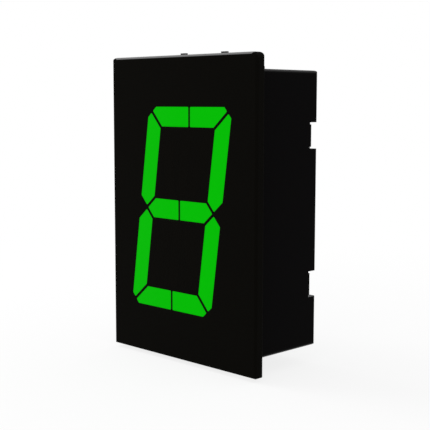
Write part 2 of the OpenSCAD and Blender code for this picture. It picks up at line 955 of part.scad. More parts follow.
module bracket_rail() {
    in_x = bracket_w / 2 + slip;
    top = bracket_t + 2 * slip;
    slab(rail_y0, rail_y1)
        translate([0, case_h / 2])
            polygon([
                [in_x, -case_wall / 2], [in_x + rail_t, -case_wall / 2],
                [in_x + rail_t, top + rail_lip_t / 2],
                [in_x + rail_t - rail_lip_t / 2, top + rail_lip_t],
                [in_x - rail_lip, top + rail_lip_t], [in_x - rail_lip, top], [in_x, top]
            ]);
}

// The sawtooth groove in the case's top. Each tooth is steep at the rear, so that a bracket
// slides forwards over it and can't slide back.
module rack_groove() {
    steps = floor((case_depth - rack_end - rail_y0) / tooth_pitch) - 1;
    start = rail_y0 + (pawl_y - rail_y0) % tooth_pitch;
    top = case_h / 2 + past;
    across(-rack_w / 2, rack_w / 2)
        polygon(concat(
            [[start, top]],
            [for (i = [0:steps - 1], p = [[0, slip], [tooth_pitch, tooth_depth]])
                [start + i * tooth_pitch + p.x, case_h / 2 - p.y]],
            [[start + steps * tooth_pitch, top]]
        ));
}

// The notch that a hook catches in, open to the rear so that a blade can free the hook.
module case_notch() {
    release = 2.3;
    notch_h = arm_w + 2 * notch_play;
    translate([bay_w / 2 - release, notch_y, arm_z - notch_h / 2])
        cube([release + case_wall + past, case_depth - notch_y + past, notch_h]);
}

module vent_slots() {
    count = 7;
    pitch = 5;
    slot_r = 0.8;
    slot_h = 10;
    both_ends()
        for (i = [0:count - 1])
            translate([(i - (count - 1) / 2) * pitch, 0, case_h / 2 - 1.6 * slot_h])
                slab(back_y - past, case_depth + past) {
                    square([2 * slot_r, slot_h - 2 * slot_r], center = true);
                    for (end = [-1, 1])
                        translate([0, end * (slot_h / 2 - slot_r)])
                            circle(slot_r);
                }
}

module case_shell() {
    color("#0c0c0c")
        difference() {
            union() {
                eased_block(
                    case_w, case_h, -seat_depth, case_depth, case_corner_r, case_lead, case_edge_r
                );
                both_sides() both_ends()
                    bracket_rail();
            }
            slab(-seat_depth - past, back_y)
                round_rect(bay_w, bay_h, case_corner_r);
            both_ends()
                rack_groove();
            both_sides() both_ends()
                case_notch();
            both_sides()
                slab(back_y - past, case_depth + past)
                    translate([header_x, 0])
                        square([header_w + 2 * slip, header_len + 2 * slip], center = true);
            vent_slots();
        }
}

// ---- Brackets ----

foot_t = 1;
leg_len = 4.5;
gusset = 2.4;
tongue_w = 5;
slit = 0.6;
pawl_len = 1;
plate_y0 = clamp_gap + leg_len;
plate_y1 = plate_y0 + bracket_len;
tongue_y0 = plate_y0 + bracket_len / 4;
pawl_y = plate_y1 - bracket_len / 5;
pull_h = 1.4;

// A clamping bracket on top of the case: a plate between the rails, a sprung tongue whose
// pawl holds in the rack, and two legs whose feet press on the rear of the panel.
module mounting_bracket() {
    z0 = case_h / 2 + slip / 2;
    color("#0c0c0c") {
        translate([0, 0, z0])
            linear_extrude(bracket_t)
                difference() {
                    union() {
                        translate([-bracket_w / 2, plate_y0])
                            square([bracket_w, bracket_len]);
                        for (side = [-1, 1])
                            translate([side * foot_x - foot_w / 2, clamp_gap])
                                square([foot_w, leg_len + slip]);
                    }
                    difference() {
                        translate([-tongue_w / 2 - slit, tongue_y0])
                            square([tongue_w + 2 * slit, pawl_y - tongue_y0 + slit]);
                        translate([-tongue_w / 2, tongue_y0 - past])
                            square([tongue_w, pawl_y - tongue_y0 + past]);
                    }
                }
        for (side = [-1, 1])
            across(side * foot_x - foot_w / 2, side * foot_x + foot_w / 2)
                translate([clamp_gap, z0])
                    polygon([
                        [0, 0], [foot_t + gusset, 0], [foot_t + gusset, bracket_t],
                        [foot_t, bracket_t + gusset], [foot_t, foot_h - slip / 2],
                        [0, foot_h - slip / 2]
                    ]);
        across(-tongue_w / 2, tongue_w / 2)
            translate([pawl_y, z0])
                polygon([
                    [-pawl_len, slip], [-pawl_len, 0], [-snug, slip - tooth_depth], [-snug, slip]
                ]);
        // The ridge that a thumb pushes on
        across(rail_lip + slip - bracket_w / 2, bracket_w / 2 - rail_lip - slip)
            translate([plate_y1, z0])
                polygon([
                    [-bracket_len / 8, bracket_t - slip], [-bracket_len / 16, bracket_t + pull_h],
                    [0, bracket_t + pull_h], [0, bracket_t - slip]
                ]);
    }
}

module mounting_bracket_top() {
    mounting_bracket();
}

module mounting_bracket_bottom() {
    mirror([0, 0, 1])
        mounting_bracket();
}

// ---- Nodes ----

front_bezel();
reflector();
lamp_board();
segment_lamps();
segment_resistors();
link_header();
link_pins();
link_socket();
board_standoffs();
driver_board();
board_screws();
segment_driver();
microcontroller();
voltage_regulator();
power_inductor();
input_capacitor();
output_capacitor();
ceramic_capacitors();
control_resistors();
protection_diode();
input_header();
input_pins();
output_header();
output_pins();
case_shell();
mounting_bracket_top();
mounting_bracket_bottom();
for (s = SEGMENTS)
    light_window(s);
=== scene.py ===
"""Looks of a panel display with one large slanted character in lit segments."""

import bmesh
import bpy
import numpy as np
from bpy.props import FloatProperty, FloatVectorProperty, IntProperty, PointerProperty
from mathutils import Matrix, Vector


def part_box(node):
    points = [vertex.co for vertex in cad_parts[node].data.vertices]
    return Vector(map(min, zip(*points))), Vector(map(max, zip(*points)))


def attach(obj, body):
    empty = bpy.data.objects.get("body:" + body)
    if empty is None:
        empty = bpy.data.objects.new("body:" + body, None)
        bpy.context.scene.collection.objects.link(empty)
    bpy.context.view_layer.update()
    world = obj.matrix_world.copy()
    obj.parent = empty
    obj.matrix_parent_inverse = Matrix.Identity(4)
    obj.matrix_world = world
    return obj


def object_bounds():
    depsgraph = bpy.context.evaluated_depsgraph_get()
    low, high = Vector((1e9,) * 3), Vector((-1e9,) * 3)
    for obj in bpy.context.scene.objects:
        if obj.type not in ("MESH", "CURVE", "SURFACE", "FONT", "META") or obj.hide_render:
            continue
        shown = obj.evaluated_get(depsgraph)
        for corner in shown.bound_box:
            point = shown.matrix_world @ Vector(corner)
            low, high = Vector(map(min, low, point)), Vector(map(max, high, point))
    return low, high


bl_info = {
    "name": "Segment Display Finishes",
    "version": (1, 0, 0),
    "blender": (4, 5, 0),
    "location": "View3D > Sidebar > Display",
    "description": "Finishes of a panel display with one large lit character, and its stage",
    "category": "Object",
}

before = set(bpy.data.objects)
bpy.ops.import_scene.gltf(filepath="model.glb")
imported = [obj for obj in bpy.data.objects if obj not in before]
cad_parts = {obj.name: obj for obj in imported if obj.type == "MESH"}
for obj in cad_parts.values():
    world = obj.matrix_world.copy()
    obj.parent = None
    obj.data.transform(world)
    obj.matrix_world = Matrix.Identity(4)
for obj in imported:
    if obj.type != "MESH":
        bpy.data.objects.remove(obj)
CAD_LOW, CAD_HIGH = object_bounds()
BEZEL_LOW, BEZEL_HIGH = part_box("front_bezel")
BODY = "root"
MM = 0.001

# The flange's moulded roundings, as the CAD has them
FLANGE_CORNER_R = 0.0021
FLANGE_FRONT_R = 0.0008
FLANGE_REAR_R = 0.0005
FLANGE_REAR_Y = 0.0

# The bezel's edge gloss: how far the edge faces up where it starts and where it is full,
# the share of the corner fade at which the gloss has gone, and its coat
EDGE_UP_START, EDGE_UP_FULL = 0.12, 0.32
CORNER_FADE_END = 0.35
EDGE_COAT_IOR = 2.4

# The case's polish: its coat, and how far a face may look sideways before the polish fades
CASE_COAT_ROUGHNESS = 0.38
SIDE_START, SIDE_FULL = 0.7, 0.98
PLASTIC_IOR = 1.5

# The lit windows, with painted shade that makes them paler and dimmer on the left: where along
# X that shade starts to lift and where it has gone, in millimetres, and the shares that it and
# the soft patches have in the glow
SHADE_LIFTS_X, SHADE_GONE_X = -22.0, 6.0
SHADE_SHARE, PATCH_SHARE = 0.8, 0.2
# The glow at the left end, dimmed there as painted shade
LEFT_SHADED_GLOW = 0.955

# Boards, in millimetres: cells of tracks, their pitch, and the vias' pads and their holes, which
# are dark discs of painted shade
TRACK_CELL, TRACK_PITCH = 4.5, 0.75
VIA_PAD_R, VIA_PAD_END = 0.34, 0.38
VIA_HOLE_R, VIA_HOLE_END = 0.14, 0.17
VIA_COPPER, VIA_HOLE_SHADE = (0.66, 0.6, 0.42), (0.02, 0.02, 0.02)

# Rows of small parts, in millimetres: the pitch, and half the body between the end caps
SMALL_PITCH, SMALL_HALF = 4.2, 0.6
LARGE_PITCH, LARGE_HALF = 4.6, 0.96
RESISTOR_BLACK = (0.012, 0.012, 0.014)

# Moulded bodies inside their leads, half sizes in millimetres
DRIVER_HALF, CONTROLLER_HALF, REGULATOR_HALF = (3.76, 7.7), (3.52, 3.52), (3.26, 3.06)
REGULATOR_TAB, REGULATOR_BODY_HALF = 1.2, 3.05

# Pins and their solder, in metres, and the power that hollows a collar's side
PIN_PITCH, PIN_ROWS, PIN_COLUMNS = 0.00254, 5, 2
COLLAR_CORE_R = 0.0002
COLLAR_POWER = 2.6

# The stage
FLOOR_GAP = 0.00005
FLOOR_STEPS = 9
SENSOR_WIDTH = 36.0
CLIP_NEAR, CLIP_FAR = 0.01, 50.0
WHITE = (1, 1, 1, 1)


# ---- Shader building ----


class Signal:
    """A number, vector or colour that varies over a surface; arithmetic on it adds nodes."""

    def __init__(self, finish, socket):
        self.finish = finish
        self.socket = socket

    def __add__(self, other):
        return self.finish.maths("ADD", self, other)

    def __radd__(self, other):
        return self.finish.maths("ADD", other, self)

    def __sub__(self, other):
        return self.finish.maths("SUBTRACT", self, other)

    def __rsub__(self, other):
        return self.finish.maths("SUBTRACT", other, self)

    def __mul__(self, other):
        return self.finish.maths("MULTIPLY", self, other)

    def __rmul__(self, other):
        return self.finish.maths("MULTIPLY", other, self)

    def __truediv__(self, other):
        return self.finish.maths("DIVIDE", self, other)

    def __abs__(self):
        return self.finish.maths("ABSOLUTE", self)


class Finish:
    """A node material under construction, with the point on the piece in millimetres."""

    def __init__(self, name):
        self.material = bpy.data.materials.new(name)
        self.material.use_nodes = True
        self.tree = self.material.node_tree
        self.tree.nodes.clear()
        place = self.node("ShaderNodeTexCoord")["Object"]
        self.point = self.node(
            "ShaderNodeVectorMath", {"operation": "SCALE"}, {"Vector": place, "Scale": 1 / MM}
        )["Vector"]
        axes = self.node("ShaderNodeSeparateXYZ", None, {"Vector": self.point})
        self.x, self.y, self.z = axes["X"], axes["Y"], axes["Z"]

    @staticmethod
    def socket(sockets, key):
        """The socket with this number, or the first one in use with this name."""
        if isinstance(key, int):
            return sockets[key]
        return next(s for s in sockets if s.enabled and s.name == key)

    def node(self, kind, settings=None, values=None):
        """Adds a node: its settings first, then a value or a link for each input."""
        node = self.tree.nodes.new(kind)
        for key, value in (settings or {}).items():
            setattr(node, key, value)
        for key, value in (values or {}).items():
            socket = self.socket(node.inputs, key)
            if isinstance(value, Signal):
                self.tree.links.new(value.socket, socket)
            else:
                socket.default_value = value
        return {s.name: Signal(self, s) for s in node.outputs if s.enabled}

    def maths(self, operation, *values):
        return self.node("ShaderNodeMath", {"operation": operation}, dict(enumerate(values)))[
            "Value"
        ]

    def larger(self, a, b):
        return self.maths("MAXIMUM", a, b)

    def fraction(self, value):
        return self.maths("FRACT", value)

    def rise(self, value, low, high):
        """0 where value is under low, 1 where it is over high, and smooth between."""
        return self.node(
            "ShaderNodeMapRange",
            {"interpolation_type": "SMOOTHSTEP"},
            {"Value": value, "From Min": low, "From Max": high},
        )["Result"]

    def noise(self, per_mm, detail=2.0, stretch=(1, 1, 1)):
        """Soft noise with about per_mm lumps to a millimetre, drawn out along an axis."""
        point = self.node(
            "ShaderNodeVectorMath", {"operation": "MULTIPLY"}, {0: self.point, 1: stretch}
        )["Vector"]
        return self.node(
            "ShaderNodeTexNoise", None, {"Vector": point, "Scale": per_mm, "Detail": detail}
        )["Fac"]

    def blend(self, share, low, high):
        """The colour that lies by share between low and high."""
        return self.node(
            "ShaderNodeMix",
            {"data_type": "RGBA"},
            {"Factor": share, "A": colour(low), "B": colour(high)},
        )["Result"]

    def bump(self, height, depth_mm, strength=1.0):
        return self.node(
            "ShaderNodeBump",
            None,
            {"Strength": strength, "Distance": depth_mm * MM, "Height": height},
        )["Normal"]

    def facing(self, axis):
        """How far the surface faces along an axis of the piece, from -1 to 1."""
        normal = self.node("ShaderNodeNewGeometry")["Normal"]
        return self.node("ShaderNodeSeparateXYZ", None, {"Vector": normal})[axis]

    def box_distance(self, centre, half):
        """How far the point lies outside a rectangle seen from the front, in millimetres."""
        return self.larger(abs(self.x - centre[0]) - half[0], abs(self.z - centre[1]) - half[1])

    def surface(self, **sockets):
        """Ends the material in a Principled shader with these sockets set or linked."""
        values = {key.replace("_", " "): value for key, value in sockets.items()}
        for key in ("Base Color", "Emission Color"):
            if key in values:
                values[key] = colour(values[key])
        shader = self.node("ShaderNodeBsdfPrincipled", None, values)["BSDF"]
        self.node("ShaderNodeOutputMaterial", None, {"Surface": shader})
        return self.material


def colour(value, factor=1.0):
    """A colour with its alpha; a signal passes through."""
    if isinstance(value, Signal):
        return value
    return tuple(c * factor for c in tuple(value)[:3]) + (1.0,)


def assign(node, material):
    """Gives a carried-over piece its finish."""
    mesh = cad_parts[node].data
    mesh.materials.clear()
    mesh.materials.append(material)


def middle(node):
    """Centre and half size of a node seen from the front, in millimetres."""
    low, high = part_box(node)
    return (
        ((low.x + high.x) / 2 / MM, (low.z + high.z) / 2 / MM),
        ((high.x - low.x) / 2 / MM, (high.z - low.z) / 2 / MM),
    )


# ---- Surfaces ----


def grid_faces(rows, columns, rows_close, columns_close):
    """Quads of a grid of rows by columns points, closed on itself where asked."""
    r = np.arange(rows if rows_close else rows - 1)[:, None]
    c = np.arange(columns if columns_close else columns - 1)[None, :]
    r1, c1 = (r + 1) % rows, (c + 1) % columns
    corners = [r * columns + c, r * columns + c1, r1 * columns + c1, r1 * columns + c]
    return np.stack(np.broadcast_arrays(*corners), axis=-1).reshape(-1, 4)


def new_piece(name, points, faces, material, smooth=True):
    """An object at the origin from an array of points, in metres, and an array of quads."""
    mesh = bpy.data.meshes.new(name)
    mesh.vertices.add(len(points))
    mesh.vertices.foreach_set("co", np.ascontiguousarray(points, np.float32).ravel())
    mesh.loops.add(faces.size)
    mesh.loops.foreach_set("vertex_index", faces.ravel().astype(np.int32))
    mesh.polygons.add(len(faces))
    mesh.polygons.foreach_set("loop_start", np.arange(0, faces.size, 4, dtype=np.int32))
    mesh.polygons.foreach_set("use_smooth", np.full(len(faces), smooth))
    mesh.update(calc_edges=True)
    mesh.validate()
    mesh.materials.append(material)
    piece = bpy.data.objects.new(name, mesh)
    bpy.context.scene.collection.objects.link(piece)
    return piece


def solder_collars(centres, board_y, reach, foot_r, neck_r, core_r, turns, steps=6):
    """Concave collars round pins that stand out of a board towards the front.

    Each is a closed profile carried round its pin. The profile's outer side is
    r(t) = neck + (foot - neck) * (1 - t) ** 2.6 at y(t) = board - reach * t, for t from 0
    to 1, and its inner side returns straight along the core radius inside the pin."""
    t = np.linspace(0, 1, steps)
    outer_r = neck_r + (foot_r - neck_r) * (1 - t) ** COLLAR_POWER
    r = np.concatenate([outer_r, [core_r, core_r]])
    y = np.concatenate([board_y - reach * t, [board_y - reach, board_y]])
    angle = np.linspace(0, 2 * np.pi, turns, endpoint=False)
    ring = np.stack(
        [
            np.cos(angle)[:, None] * r,
            np.broadcast_to(y, (turns, len(r))),
            np.sin(angle)[:, None] * r,
        ],
        axis=-1,
    ).reshape(-1, 3)
    faces = grid_faces(turns, len(r), True, True)
    places = np.array([(x, 0.0, z) for x, z in centres])
    points = (places[:, None, :] + ring[None, :, :]).reshape(-1, 3)
    offsets = np.arange(len(places)) * len(ring)
    return points, (faces[None, :, ::-1] + offsets[:, None, None]).reshape(-1, 4)


def eased(distance, radius):
    """How far a quarter-round edge has fallen back at a distance in from the side.

    It is radius - sqrt(radius ** 2 - (radius - distance) ** 2), and 0 past the rounding."""
    inward = np.clip(radius - distance, 0, radius)
    return radius - np.sqrt(np.maximum(radius**2 - inward**2, 0))


def sharper_corner(side, radius, steps=32, rings=8):
    """The sliver that takes a lower corner of the flange from its CAD radius to a sharper one.

    At each angle round the moulded corner's centre the section runs out along the front
    from the moulded arc to the sharp outline, and back along the rear. The outline is the
    two straight sides joined by an arc of the new radius, so its distance from the centre
    is side / cos, side / sin or, between them, b + sqrt(b ** 2 - 2 * m ** 2 + radius ** 2)
    with m = side - radius and b = m * (cos + sin), where side is the moulded radius. The
    front and the rear fall back by the quarter-rounds of the flange's edges. Both ends
    close in a line, where the section has no width."""
    reach, m = FLANGE_CORNER_R, FLANGE_CORNER_R - radius
    angle = np.linspace(0, np.pi / 2, steps + 1)
    cos, sin = np.cos(angle), np.sin(angle)
    b = m * (cos + sin)
    arc = b + np.sqrt(np.maximum(b**2 - 2 * m**2 + radius**2, 0))
    outline = np.where(sin * reach <= cos * m, reach / np.maximum(cos, 0.1), arc)
    outline = np.where(cos * reach <= sin * m, reach / np.maximum(sin, 0.1), outline)
    share_out = np.sin(np.linspace(0, np.pi / 2, rings + 1))
    rho = reach + (outline - reach)[:, None] * share_out[None, :]
    out_x, out_z = rho * cos[:, None], rho * sin[:, None]
    in_x, in_z = reach - out_x, reach - out_z
    front = np.maximum(eased(in_x, FLANGE_FRONT_R), eased(in_z, FLANGE_FRONT_R))
    rear = np.maximum(eased(in_x, FLANGE_REAR_R), eased(in_z, FLANGE_REAR_R))
    x = side * (BEZEL_HIGH.x - in_x)
    z = BEZEL_LOW.z + in_z
    front = np.stack([x, BEZEL_LOW.y + front, z], axis=-1)
    rear = np.stack([x, FLANGE_REAR_Y - rear, z], axis=-1)
    points = np.concatenate([front, rear[:, ::-1]], axis=1).reshape(-1, 3)
    return points, grid_faces(steps + 1, 2 * (rings + 1), False, True)


def close_ends(piece):
    """Merges the points that meet and turns the faces outwards."""
    mesh = bmesh.new()
    mesh.from_mesh(piece.data)
    bmesh.ops.remove_doubles(mesh, verts=mesh.verts, dist=1e-7)
    bmesh.ops.recalc_face_normals(mesh, faces=mesh.faces)
    mesh.to_mesh(piece.data)
    mesh.free()


# ---- Sizes and colours ----


def tint(name, description, default):
    return FloatVectorProperty(
        name=name, description=description, default=default, subtype="COLOR", min=0, max=1
    )


def share(name, description, default):
    return FloatProperty(
        name=name, description=description, default=default, min=0, max=1, subtype="FACTOR"
    )


def length(name, description, default):
    return FloatProperty(
        name=name, description=description, default=default, min=0, unit="LENGTH", precision=5
    )


class BezelFinish(bpy.types.PropertyGroup):
    colour: tint("Colour", "Colour of the bezel's plastic", (0.00305, 0.00277, 0.00217))
    roughness: share("Roughness", "Roughness of the flat face", 0.55)
    shine: share("Shine", "Strength of the face's reflections", 0.008)
    edge_width: length("Edge width", "Width of the rounded edge round the front", 0.0008)
    edge_gloss: share("Edge gloss", "Gloss of that edge where it faces up", 1.0)
    corner_radius: length("Corner radius", "Radius of the two lower corners", 0.0006)
    corner_fade: length("Corner fade", "How far from a corner that gloss starts to fade", 0.0024)
    edge_roughness: share("Edge roughness", "Roughness of the edge's gloss", 0.3)


class WindowFinish(bpy.types.PropertyGroup):
    glow: tint("Glow", "Light given off by a lit window", (0.0002, 0.338, 0.0002))
    resin: tint("Resin", "Colour of a lit window's resin", (0.0012, 0.165, 0.0012))
    # Painted shade: the resin is made paler towards the left
    haze_and_painted_shade: share("Haze", "How much paler the resin is towards the left", 0.0011)
    smoked: tint("Smoked resin", "Colour of an unlit window", (0.003, 0.00267, 0.002))
    shine: share("Shine", "Strength of the windows' reflections", 0.008)


class CaseFinish(bpy.types.PropertyGroup):
    colour: tint("Colour", "Colour of the case's plastic", (0.0022, 0.00195, 0.00205))
    roughness: share("Roughness", "Roughness of the grained sides", 0.5)
    shine: share("Shine", "Strength of the sides' reflections", 0.01)
    end_gloss: share("End gloss", "Gloss of the ends and the rear wall", 0.42)


class BoardFinish(bpy.types.PropertyGroup):
    mask: tint("Solder mask", "Colour of the boards' solder mask", (0.008, 0.085, 0.028))
    track: tint("Tracks", "Colour of the copper under the mask", (0.016, 0.16, 0.05))
    print_colour: tint("Print", "Colour of the parts' printed outlines", (0.75, 0.76, 0.72))
    edge: tint("Laminate", "Colour of the bare laminate at the edges", (0.33, 0.3, 0.16))


class PartFinish(bpy.types.PropertyGroup):
    compound: tint("Compound", "Colour of the moulded chips", (0.018, 0.018, 0.019))
    tin: tint("Tin", "Colour of leads, end caps and solder", (0.62, 0.62, 0.6))
    gold: tint("Gold", "Colour of the plated pins", (0.83, 0.58, 0.2))
    brass: tint("Brass", "Colour of the standoffs", (0.7, 0.47, 0.17))
    can: tint("Can", "Colour of the capacitors' cans", (0.72, 0.73, 0.74))
    ceramic: tint("Ceramic", "Colour of the small capacitors", (0.33, 0.2, 0.1))
    ferrite: tint("Ferrite", "Colour of the coil's ferrite", (0.035, 0.034, 0.036))


class SolderShape(bpy.types.PropertyGroup):
    foot: length("Foot", "Radius of a solder collar on the board", 0.00085)
    neck: length("Neck", "Radius of a solder collar at its top", 0.00047)
    reach: length("Reach", "Height of a solder collar along its pin", 0.00085)
    turns: IntProperty(name="Turns", description="Points round a collar", default=20, min=8)


class StageSettings(bpy.types.PropertyGroup):
    camera_at: FloatVectorProperty(
        name="Camera",
        description="Where the camera stands",
        default=(0.22464, -0.21239, 0.03352),
        subtype="TRANSLATION",
        unit="LENGTH",
        precision=5,
    )
    camera_to: FloatVectorProperty(
        name="Aim",
        description="The point that the camera looks at",
        default=(0.00188, 0.01058, -0.00269),
        subtype="TRANSLATION",
        unit="LENGTH",
        precision=5,
    )
    roll: FloatProperty(
        name="Roll", description="Turn about the line of sight", default=0.0013, unit="ROTATION"
    )
    focal_length: FloatProperty(
        name="Focal length", description="Focal length on a 36 mm sensor", default=82.54
    )
    shift: FloatVectorProperty(
        name="Shift", description="Shift of the lens", default=(-0.00116, 0.00116), size=2
    )
    floor_colour: tint("Floor", "Colour of the floor", (0.92, 0.92, 0.92))
    floor_light: share("Floor light", "How far the floor near the display is plain white", 0.82)
    floor_near: length("Floor near", "Distance up to which the floor keeps its shadow", 0.08)
    floor_far: length("Floor far", "Distance from which the floor is plain white", 0.3)
    floor_size: length("Floor size", "Half the width of the floor", 4.0)
    sky: FloatProperty(name="Sky", description="Strength of the even light", default=0.75, min=0)
    key_power: FloatProperty(
        name="Key light", description="Power of the softbox above on the left", default=2.2, min=0
    )
    fill_power: FloatProperty(
        name="Fill light", description="Power of the softbox beside the camera", default=1.2, min=0
    )


GROUPS = {
    "display_bezel": BezelFinish,
    "display_windows": WindowFinish,
    "display_casing": CaseFinish,
    "display_boards": BoardFinish,
    "display_parts": PartFinish,
    "display_solder": SolderShape,
    "display_stage": StageSettings,
}


# ---- Finishes of the outside ----


def grained_black(name, tone, roughness, shine, coat, coat_roughness, coat_ior):
    """Black plastic with a fine spark-eroded grain; coat(f) is the gloss over the surface."""
    f = Finish(name)
    fine, broad = f.noise(5.0, 3.0), f.noise(0.08)
    return f.surface(
        Base_Color=f.blend(fine * 0.6 + broad * 0.4, colour(tone, 0.86), colour(tone, 1.16)),
        Roughness=roughness + (fine - 0.5) * 0.12 + (broad - 0.5) * 0.06,
        Specular_IOR_Level=shine,
        Coat_Weight=coat(f),
        Coat_Roughness=coat_roughness,
        Coat_IOR=coat_ior,
        Normal=f.bump(fine, 0.012, 0.35),
    )


def bezel_material(s):
    """Satin black; the rounded front edge is glossy where it faces up."""
    half_x, half_z = BEZEL_HIGH.x / MM, BEZEL_HIGH.z / MM
    front, width = BEZEL_LOW.y / MM, s.edge_width / MM

    def edge(f):
        out = f.box_distance((0, 0), (half_x - width, half_z - width))
        rounded = f.rise(out, 0.0, 0.06) * f.rise(front + width - f.y, 0.0, 0.1)
        fade = s.corner_fade / MM
        corner = f.rise(abs(f.x), half_x - fade, half_x - fade * CORNER_FADE_END)
        upwards = f.rise(f.facing("Z") - corner, EDGE_UP_START, EDGE_UP_FULL)
        return rounded * upwards * s.edge_gloss

    return grained_black(
        "satin_bezel_black",
        s.colour,
        s.roughness,
        s.shine,
        edge,
        s.edge_roughness,
        EDGE_COAT_IOR,
    )


def case_material(name, s):
    """Grained black; the ends and the rear wall, which the mould's pull polishes, are glossier."""

    def polish(f):
        return (1 - f.rise(abs(f.facing("X")), SIDE_START, SIDE_FULL)) * s.end_gloss

    return grained_black(
        name, s.colour, s.roughness, s.shine, polish, CASE_COAT_ROUGHNESS, PLASTIC_IOR
    )


def lit_material(s):
    """Diffusing green resin lit from behind, with painted shade that makes it a little paler and
    weaker towards the left.

    The change runs along the display's own X axis, so it stays on the piece in every view."""
    f = Finish("lit_green_resin")
    # clear is the share free of the painted shade: 0 at the left, 1 from a little right of the
    # middle
    patches, clear = f.noise(0.18, 1.0), f.rise(f.x, SHADE_LIFTS_X, SHADE_GONE_X)
    # The resin's colour at the left, paled as painted shade
    left_shaded_resin = tuple(c + s.haze_and_painted_shade for c in s.resin)
    return f.surface(
        Base_Color=f.blend(clear, left_shaded_resin, s.resin),
        # The glow is dimmed towards the left as painted shade
        Emission_Color=f.blend(
            clear * SHADE_SHARE + patches * PATCH_SHARE, colour(s.glow, LEFT_SHADED_GLOW), s.glow
        ),
        Emission_Strength=1.0,
        Roughness=0.45 + (patches - 0.5) * 0.1,
        Specular_IOR_Level=s.shine,
    )


def dark_material(s):
    """Smoked resin, as dark as the face round it and a little smoother."""
    f = Finish("smoked_resin")
    patches = f.noise(0.3, 1.0)
    return f.surface(
        Base_Color=f.blend(patches, colour(s.smoked, 0.94), colour(s.smoked, 1.06)),
        Roughness=0.4 + (patches - 0.5) * 0.08,
        Specular_IOR_Level=s.shine,
    )


# ---- Finishes of the inside ----


def board_material(name, s, parts):
    """Solder mask over copper: tracks turn from cell to cell, with vias, whose holes are painted
    shade, and printed outlines.
    """
    f = Finish(name)
    cell = TRACK_CELL
    cells = f.node(
        "ShaderNodeVectorMath", {"operation": "SCALE"}, {"Vector": f.point, "Scale": 1 / cell}
    )["Vector"]
    cells = f.node("ShaderNodeVectorMath", {"operation": "FLOOR"}, {0: cells})["Vector"]
    chance = f.node("ShaderNodeTexWhiteNoise", {"noise_dimensions": "3D"}, {"Vector": cells})[
        "Value"
    ]
    level = f.rise(chance, 0.49, 0.51)
    across = abs(f.fraction(f.x / TRACK_PITCH) - 0.5)
    along = abs(f.fraction(f.z / TRACK_PITCH) - 0.5)
    tracks = f.rise(across * level + along * (1 - level), 0.26, 0.3)
    via_x = (f.fraction(f.x / cell) - 0.5) * cell
    via_z = (f.fraction(f.z / cell) - 0.5) * cell
    radius = f.maths("SQRT", via_x * via_x + via_z * via_z)
    via = (1 - f.rise(radius, VIA_PAD_R, VIA_PAD_END)) * f.rise(chance, 0.6, 0.62)
    # Painted shade: a dark disc where each via's hole would be
    hole_shade = via * (1 - f.rise(radius, VIA_HOLE_R, VIA_HOLE_END))
    outline = 0
    for part in parts:
        centre, half = middle(part)
        out = f.box_distance(centre, half)
        line = f.rise(out, 0.3, 0.34) * (1 - f.rise(out, 0.46, 0.5))
        outline = line + outline
    green = f.blend(tracks, s.mask, s.track)
    plated = f.blend(via, green, VIA_COPPER)
    with_hole_shade = f.blend(hole_shade, plated, VIA_HOLE_SHADE)
    printed = f.blend(outline, with_hole_shade, s.print_colour) if parts else with_hole_shade
    return f.surface(
        Base_Color=printed,
        Metallic=via * 0.8,
        Roughness=0.34 + tracks * 0.06 + f.noise(0.5) * 0.1,
        Specular_IOR_Level=0.4,
        Normal=f.bump(tracks + via * 0.5, 0.03, 0.6),
    )


def leaded_material(name, s, centre, half):
    """Moulded compound inside a rectangle and bright tin on the leads outside it."""
    f = Finish(name)
    lead = f.rise(f.box_distance(centre, half), 0.0, 0.04)
    fine = f.noise(9.0, 3.0)
    moulded = f.blend(fine, colour(s.compound, 0.8), colour(s.compound, 1.25))
    return f.surface(
        Base_Color=f.blend(lead, moulded, s.tin),
        Metallic=lead,
        Roughness=0.55 - lead * 0.25 + (fine - 0.5) * 0.12,
        Specular_IOR_Level=0.4,
        Normal=f.bump(fine, 0.015, 0.4),
    )


def chip_material(name, s, body, pitch, half_body):
    """A row of small parts along X: the body between end caps, repeated at the pitch."""
    f = Finish(name)
    place = abs(f.fraction(f.x / pitch) - 0.5) * pitch
    cap = f.rise(place, half_body - 0.02, half_body + 0.02)
    fine = f.noise(12.0, 2.0)
    tone = f.blend(fine, colour(body, 0.85), colour(body, 1.15))
    return f.surface(
        Base_Color=f.blend(cap, tone, s.tin),
        Metallic=cap,
        Roughness=0.42 - cap * 0.12 + (fine - 0.5) * 0.1,
        Specular_IOR_Level=0.45,
    )


def can_material(name, s, node):
    """Drawn aluminium with fine rings, a printed dark half-moon on its end and a black base."""
    f = Finish(name)
    low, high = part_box(node)
    base = 1 - f.rise(f.y, low.y / MM + 0.95, low.y / MM + 1.0)
    centre, half = middle(node)
    moon = f.rise(f.x - centre[0], half[0] * 0.42, half[0] * 0.46)
    moon = moon * f.rise(f.y, high.y / MM - 0.03, high.y / MM - 0.01)
    rings = f.noise(3.0, 2.0, (0.05, 8.0, 0.05))
    drawn = f.blend(rings, colour(s.can, 0.88), s.can)
    dark = f.larger(base, moon)
    return f.surface(
        Base_Color=f.blend(dark, drawn, (0.015, 0.015, 0.017)),
        Metallic=1 - dark,
        Roughness=0.28 + dark * 0.2 + rings * 0.08,
        Normal=f.bump(rings, 0.01, 0.25),
    )


